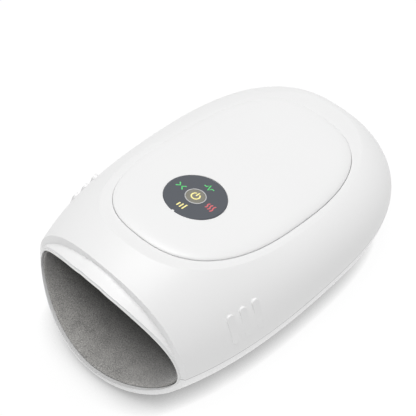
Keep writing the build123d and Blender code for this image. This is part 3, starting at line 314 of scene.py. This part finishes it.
finishes = {
    white_shell: ("upper_housing",),
    hull_painted_lighter: ("lower_housing",),
    white_panel: ("top_panel",),
    white_trim: ("mouth_trim_ring",),
    inner_plastic: (
        "bag_carrier", "palm_plate", "valve_bodies", "valve_manifold", "pump_cam", "pump_bracket",
    ),
    black_plastic: (
        "switch_plunger", "temperature_sensor", "battery_holder", "board_components", "pump_head",
        "pump_cover",
    ),
    slate_disc: ("control_disc",),
    grey_button: ("power_button",),
    cell_wrap: ("battery_cells",),
    amber_film: ("heating_film",),
    clear_lamp: ("indicator_lamps",),
    pale_ring: ("button_ring",),
    steel: (
        "tact_switch", "palm_valve_plunger", "finger_valve_plunger", "palm_valve_spring",
        "finger_valve_spring", "pump_motor", "pump_shaft", "charging_port", "key_screws",
        "carrier_screws", "plate_screws", "bracket_screws", "housing_screws",
    ),
    nickel: ("battery_contacts",),
    bronze: ("motor_bushes",),
    black_rubber: ("pump_diaphragm", "pump_mounts"),
    grey_rubber: ("rubber_feet",),
    milky_tube: ("air_tubes",),
    board_green: ("key_board", "main_board", "charging_board"),
}

for material, names in finishes.items():
    for name in names:
        nodes[name].data.materials.clear()
        nodes[name].data.materials.append(material)

# Smooth shading, kept sharp where two faces meet at more than this angle in radians

crease_angle = 0.5

for node in nodes.values():
    node.data.shade_smooth()
    node.data.set_sharp_from_angle(angle=crease_angle)


def mesh_piece(name, vertices, faces, material, body="housing"):
    """A new mesh piece that rides on a body."""
    mesh = bpy.data.meshes.new(name)
    mesh.from_pydata(vertices, [], faces)
    mesh.materials.append(material)
    mesh.shade_smooth()
    piece = bpy.data.objects.new(name, mesh)
    scene.collection.objects.link(piece)
    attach(piece, body)
    return piece


# Cloth lining of the hand space

sleeve_stages = (
    # place along Y, half width, top, middle, bottom, power of the outline
    (-122.0, 55.8, 80.8, 35.0, 6.8, 1.85),
    (-85.0, 55.8, 80.8, 35.0, 6.8, 1.85),
    (-62.0, 49.5, 67.4, 40.0, 12.6, 2.2),
    (-8.0, 43.0, 58.0, 36.5, 15.0, 2.2),
    (42.0, 38.0, 50.6, 33.0, 15.5, 2.2),
    (60.0, 28.0, 46.0, 32.5, 19.0, 2.2),
    (65.0, 13.0, 38.0, 32.5, 27.0, 2.2),
)
sleeve_ease = 5.0
rim_front = -108.6
rim_lean = math.radians(6.5)
rim_bow_radius = 116.0
cloth_setback = 1.4
cloth_thickness = 1.1
cloth_inset = 0.8
lining_around = 160
lining_along = 90

wrinkle_depth = 0.7
wrinkle_start = -88.0
wrinkle_fade = 50.0
wrinkle_waves = 7
waves_around = (2, 9)
wave_turn_per_mm = (0.04, 0.16)
wave_start = (0, 6)


def clamp(share):
    """A share held between zero and one."""
    return min(max(share, 0), 1)


def rim_y(x, z):
    """Where the mouth's leaning, bowed rim lies along Y."""
    bow = rim_bow_radius - math.sqrt(rim_bow_radius ** 2 - x ** 2)
    return rim_front + (z - parting_height) * math.tan(rim_lean) + bow / math.cos(rim_lean)


def straight_section(y):
    """Half width, top, middle, bottom and power of the outline, straight between the stages."""
    for near, far in zip(sleeve_stages, sleeve_stages[1:]):
        if y <= far[0]:
            break
    share = clamp((y - near[0]) / (far[0] - near[0]))
    return [a + (b - a) * share for a, b in zip(near[1:], far[1:])]


def sleeve_section(y):
    """The outline's values at a place along Y, eased over the bends at the stages."""
    rows = [straight_section(y + step) for step in (-sleeve_ease, 0, sleeve_ease)]
    return [sum(values) / len(values) for values in zip(*rows)]


def sleeve_point(angle, y, inset):
    """Point of the sleeve's outline at an angle, moved inward by inset."""
    half_width, top, middle, bottom, power = sleeve_section(y)
    across, up = math.cos(angle), math.sin(angle)
    rise = top - middle if up > 0 else middle - bottom
    size = (abs(across) ** power + abs(up) ** power) ** (-1 / power)
    x = (half_width - inset) * across * size
    z = middle + (rise - inset) * up * size
    return x, z


def lining_point(angle, share, waves):
    """Point of the lining at an angle, a share of the way from the mouth to the closed end."""
    x, z = sleeve_point(angle, rim_front, cloth_inset)
    front = rim_y(x, z) + cloth_setback
    back = sleeve_stages[-1][0] - cloth_inset
    y = front + (back - front) * share
    fade = clamp((y - wrinkle_start) / wrinkle_fade)
    fold = sum(math.sin(count * angle + turn * y + start) for count, turn, start in waves) / len(waves)
    x, z = sleeve_point(angle, y, cloth_inset + fade * wrinkle_depth * (1 + fold))
    return x * MM, y * MM, z * MM


def lining():
    """The lining as one sheet, drawn in by soft folds away from the mouth."""
    waves = [
        (random.randint(*waves_around), random.uniform(*wave_turn_per_mm), random.uniform(*wave_start))
        for _ in range(wrinkle_waves)
    ]
    angles = [2 * math.pi * i / lining_around for i in range(lining_around)]
    shares = [j / lining_along for j in range(lining_along + 1)]
    vertices = [lining_point(angle, share, waves) for share in shares for angle in angles]
    end = lining_along * lining_around
    faces = []
    for row in range(0, end, lining_around):
        beyond = row + lining_around
        for i in range(lining_around):
            after = (i + 1) % lining_around
            faces.append((row + i, row + after, beyond + after, beyond + i))
    faces.append(tuple(reversed(range(end, end + lining_around))))
    piece = mesh_piece("fabric_liner", vertices, faces, grey_cloth)
    thick = piece.modifiers.new("cloth", "SOLIDIFY")
    thick.thickness = cloth_thickness * MM
    thick.offset = 0
    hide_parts("fabric_sleeve")


lining()

# Air bags under the arched carrier, which slopes down toward the fingers

deck_slope = math.radians(9.6)
carrier_front = -68.0
carrier_height = 75.0
arch_radius = 84.84
bag_half_width = 33.6
bag_thickness = 4.2
bag_top_gap = 0.5
weld_thickness = 0.5
swell_height = bag_thickness - bag_top_gap - weld_thickness
swell_power = 6
side_loss = 0.5
bag_steps = 36


def bag_point(start, length, side, u, v):
    """Point of a bag's upper film (side 0) or lower film (side 1), with u and v from -1 to 1."""
    swell = math.sqrt(1 - u ** swell_power) * math.sqrt(1 - v ** swell_power)
    x = u * bag_half_width
    run = start + (v + 1) / 2 * length
    drop = arch_radius - math.sqrt(arch_radius ** 2 - x ** 2) + bag_top_gap
    drop += side * (weld_thickness + swell_height * swell * (1 - side_loss * abs(u)))
    y = carrier_front + run * math.cos(deck_slope) - drop * math.sin(deck_slope)
    z = carrier_height - run * math.sin(deck_slope) - drop * math.cos(deck_slope)
    return x * MM, y * MM, z * MM


def bag(name, start, length, node):
    """A flat bladder that follows the arch, thick in the middle and welded thin at its edge."""
    row = bag_steps + 1
    layer = row * row
    spread = [2 * i / bag_steps - 1 for i in range(row)]
    vertices = [bag_point(start, length, side, u, v) for side in (0, 1) for v in spread for u in spread]
    faces = []
    for j in range(bag_steps):
        for i in range(bag_steps):
            a = j * row + i
            quad = (a, a + 1, a + row + 1, a + row)
            faces.append(tuple(reversed(quad)))
            faces.append(tuple(layer + k for k in quad))
    # The edge's points in order: front row, right column, back row and left column
    border = list(range(row))
    border += range(row + bag_steps, layer, row)
    border += range(layer - 2, layer - row - 1, -1)
    border += range(layer - 2 * row, 0, -row)
    for a, b in zip(border, border[1:] + border[:1]):
        faces.append((a, b, b + layer, a + layer))
    piece = mesh_piece(name, vertices, faces, bag_film)
    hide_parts(node)


bag("palm_bladder", start=8.2, length=51.6, node="palm_air_bag")
bag("finger_bladder", start=66.2, length=45.6, node="finger_air_bag")

# Ink of the printed marks

ink_roughness = 0.4
ink_scale = 700.0
ink_share = 0.93
ink_glow = 0.25


def print_color(name, color):
    """Screen-printed ink, lit a little from the lamps behind it."""
    material, tree, shader = new_material(name, ink_roughness)
    tint(tree, shader, noise(tree, ink_scale), soft_span, color, ink_share)
    shader.inputs["Emission Color"].default_value = (*color, 1)
    shader.inputs["Emission Strength"].default_value = ink_glow
    return material


green_ink = print_color("green_ink", (0.1, 0.55, 0.17))
yellow_ink = print_color("yellow_ink", (0.9, 0.8, 0.32))
red_ink = print_color("red_ink", (0.56, 0.12, 0.135))

# Marks printed on the disc and the button, drawn across and along the disc's tilted face

disc_center = Vector((0, -22.4, 81.874)) * MM
crown_slope = 0.03
disc_tilt = math.atan(math.tan(deck_slope) + crown_slope)
disc_across = Vector((1, 0, 0))
disc_along = Vector((0, math.cos(disc_tilt), -math.sin(disc_tilt)))
disc_out = Vector((0, math.sin(disc_tilt), math.cos(disc_tilt)))
mark_radius = 11.4
stroke_width = 0.85
cap_steps = 8
disc_print_lift = 0.03
button_print_lift = 0.33


def stroke_outlines(points):
    """Outlines of a flat line through points: a quad for each length and a round cap at each end."""
    half = stroke_width / 2
    left, right = [], []
    for k, (u, v) in enumerate(points):
        before = points[max(k - 1, 0)]
        after = points[min(k + 1, len(points) - 1)]
        du, dv = after[0] - before[0], after[1] - before[1]
        size = math.hypot(du, dv)
        left.append((u - dv / size * half, v + du / size * half))
        right.append((u + dv / size * half, v - du / size * half))

    def cap(end, inner):
        start = math.atan2(inner[1] - end[1], inner[0] - end[0]) + math.pi / 2
        turns = [start + math.pi * k / cap_steps for k in range(1, cap_steps)]
        return [(end[0] + half * math.cos(turn), end[1] + half * math.sin(turn)) for turn in turns]

    outlines = [[left[k], right[k], right[k + 1], left[k + 1]] for k in range(len(points) - 1)]
    outlines.append([left[0]] + cap(points[0], points[1]) + [right[0]])
    outlines.append([right[-1]] + cap(points[-1], points[-2]) + [left[-1]])
    return outlines


def mark(name, strokes, center, ink, lift=disc_print_lift, body="housing"):
    """One printed mark made of strokes."""
    vertices, faces = [], []
    for points in strokes:
        for outline in stroke_outlines(points):
            first = len(vertices)
            faces.append(tuple(range(first, first + len(outline))))
            for u, v in outline:
                place = disc_center + disc_across * (center[0] + u) * MM + disc_along * (center[1] + v) * MM
                vertices.append(place + disc_out * lift * MM)
    piece = mesh_piece(name, vertices, faces, ink, body)


# Shapes of the marks

pulse_line = [(-3.0, -0.4), (-1.8, -0.4), (-0.7, 2.3), (0.7, -2.3), (1.8, 0.4), (3.0, 0.4)]
squeeze_tip, squeeze_end, squeeze_rise = 0.7, 2.3, 1.7
bar_pitch = 2.0
bar_bottom = -1.7
bar_tops = (0.8, 1.4, 2.2)
heat_heights = (3.6, 4.2, 4.8)
heat_swing = 0.4
heat_steps = 16
power_radius = 2.5
power_arc_start, power_arc_end, power_arc_step = 35, 325, 10
power_bar = [(0, 0.6), (0, 3.1)]


def chevron(side):
    """Half of the squeeze mark, which points at the mark's middle."""
    return [
        (side * squeeze_end, squeeze_rise), (side * squeeze_tip, 0), (side * squeeze_end, -squeeze_rise),
    ]


def wave(u, height):
    """Upright wavy line of the heat mark."""
    shares = [k / heat_steps for k in range(heat_steps + 1)]
    return [(u + heat_swing * math.sin(2 * math.pi * share), height * (share - 0.5)) for share in shares]


def power_arc():
    """Open ring of the power mark, with its gap at the top."""
    turns = [math.radians(a) for a in range(power_arc_start, power_arc_end + 1, power_arc_step)]
    return [(power_radius * math.sin(turn), power_radius * math.cos(turn)) for turn in turns]


columns = (-bar_pitch, 0, bar_pitch)
bars = [[(u, bar_bottom), (u, top)] for u, top in zip(columns, bar_tops)]
heat_waves = [wave(u, height) for u, height in zip(columns, heat_heights)]

mark("pulse_mark", [pulse_line], (0, mark_radius), green_ink)
mark("squeeze_mark", [chevron(-1), chevron(1)], (-mark_radius, 0), green_ink)
mark("level_mark", bars, (0, -mark_radius), yellow_ink)
mark("heat_mark", heat_waves, (mark_radius, 0), red_ink)
mark("power_mark", [power_arc(), power_bar], (0, 0), yellow_ink, lift=button_print_lift, body="button")

# Valve springs, which shorten as their plungers lift; here each only gets a mesh of its own

for valve in ("palm_valve", "finger_valve"):
    spring = nodes[valve + "_spring"]
    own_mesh(spring)

# Surroundings

white = (1, 1, 1, 1)
world_strength = 0.38


def surroundings():
    """Even light on the object, seen as white by the camera, in gloss and through glass."""
    world = bpy.data.worlds.new("studio")
    scene.world = world
    world.use_nodes = True
    tree = world.node_tree
    rays = tree.nodes.new("ShaderNodeLightPath")
    seen = rays.outputs["Is Camera Ray"]
    for kind in ("Is Glossy Ray", "Is Transmission Ray"):
        seen = calculate(tree, "MAXIMUM", seen, rays.outputs[kind])
    background = tree.nodes["Background"]
    background.inputs["Color"].default_value = white
    tree.links.new(remap(tree, seen, world_strength, 1.0), background.inputs["Strength"])


# Floor, in metres

floor_size = 6.0
floor_tone = 0.12
floor_roughness = 0.9
floor_glow = 0.9
shade_reach = 0.015
shade_lean = (-0.4, -0.2, 0.89)
shade_samples = 8


def floor():
    """A glowing floor whose glow dims close to the object in a painted shadow; its faint diffuse part takes
    the real shadow.
    """
    corners = [(-1, -1), (1, -1), (1, 1), (-1, 1)]
    mesh = bpy.data.meshes.new("floor")
    mesh.from_pydata([(x * floor_size, y * floor_size, 0) for x, y in corners], [], [(0, 1, 2, 3)])
    plane = bpy.data.objects.new("floor", mesh)
    scene.collection.objects.link(plane)
    material, tree, shader = new_material("floor", floor_roughness)
    shader.inputs["Base Color"].default_value = (floor_tone, floor_tone, floor_tone, 1)
    shader.inputs["Emission Color"].default_value = white
    shader.inputs["Specular IOR Level"].default_value = 0
    # Painted shadow: ambient occlusion, leaned to one side, dims the floor's glow near the object
    near = tree.nodes.new("ShaderNodeAmbientOcclusion")
    near.samples = shade_samples
    near.inputs["Distance"].default_value = shade_reach
    lean = tree.nodes.new("ShaderNodeCombineXYZ")
    for axis, value in zip("XYZ", shade_lean):
        lean.inputs[axis].default_value = value
    tree.links.new(lean.outputs["Vector"], near.inputs["Normal"])
    shadowed_glow = remap(tree, near.outputs["AO"], 0.0, floor_glow)
    tree.links.new(shadowed_glow, shader.inputs["Emission Strength"])
    mesh.materials.append(material)


# Lamps and camera, in metres apart from the lens and the sensor

mouth_center = (0, -0.1, 0.03)
cloth_pieces = [nodes["fabric_sleeve"], bpy.data.objects["fabric_liner"]]
lamps = (
    # name, place, aim, size, power in watts, and the only pieces that it lights, if not all
    ("key", (-0.03, 0.0, 1.5), (0, 0, 0.05), 1.2, 15.7, None),
    ("front fill", (0.1, -0.9, 0.3), mouth_center, 0.6, 0.25, None),
    ("mouth fill", (0.35, -0.5, 1.1), mouth_center, 0.3, 16.0, cloth_pieces),
)
camera_place = (0.3305, -0.3539, 0.6528)
camera_aim = (-0.0017, -0.0106, 0.0595)
camera_lens = 113.6
sensor_width = 36.0


def aimed(name, data, place, aim):
    """A lamp or camera at a place, turned toward its aim."""
    thing = bpy.data.objects.new(name, data)
    thing.location = place
    thing.rotation_euler = (Vector(aim) - Vector(place)).to_track_quat("-Z", "Y").to_euler()
    scene.collection.objects.link(thing)
    return thing


def area_light(name, place, aim, size, power, only):
    """Soft square light, which may shine on some pieces only."""
    light = bpy.data.lights.new(name, "AREA")
    light.size = size
    light.energy = power
    lamp = aimed(name, light, place, aim)
    if only:
        receivers = bpy.data.collections.new(name + " pieces")
        lamp.light_linking.receiver_collection = receivers
        for piece in only:
            receivers.objects.link(piece)


scene.view_settings.view_transform = "Standard"
surroundings()
floor()
for lamp in lamps:
    area_light(*lamp)

camera_data = bpy.data.cameras.new("camera")
camera_data.lens = camera_lens
camera_data.sensor_width = sensor_width
scene.camera = aimed("camera", camera_data, camera_place, camera_aim)
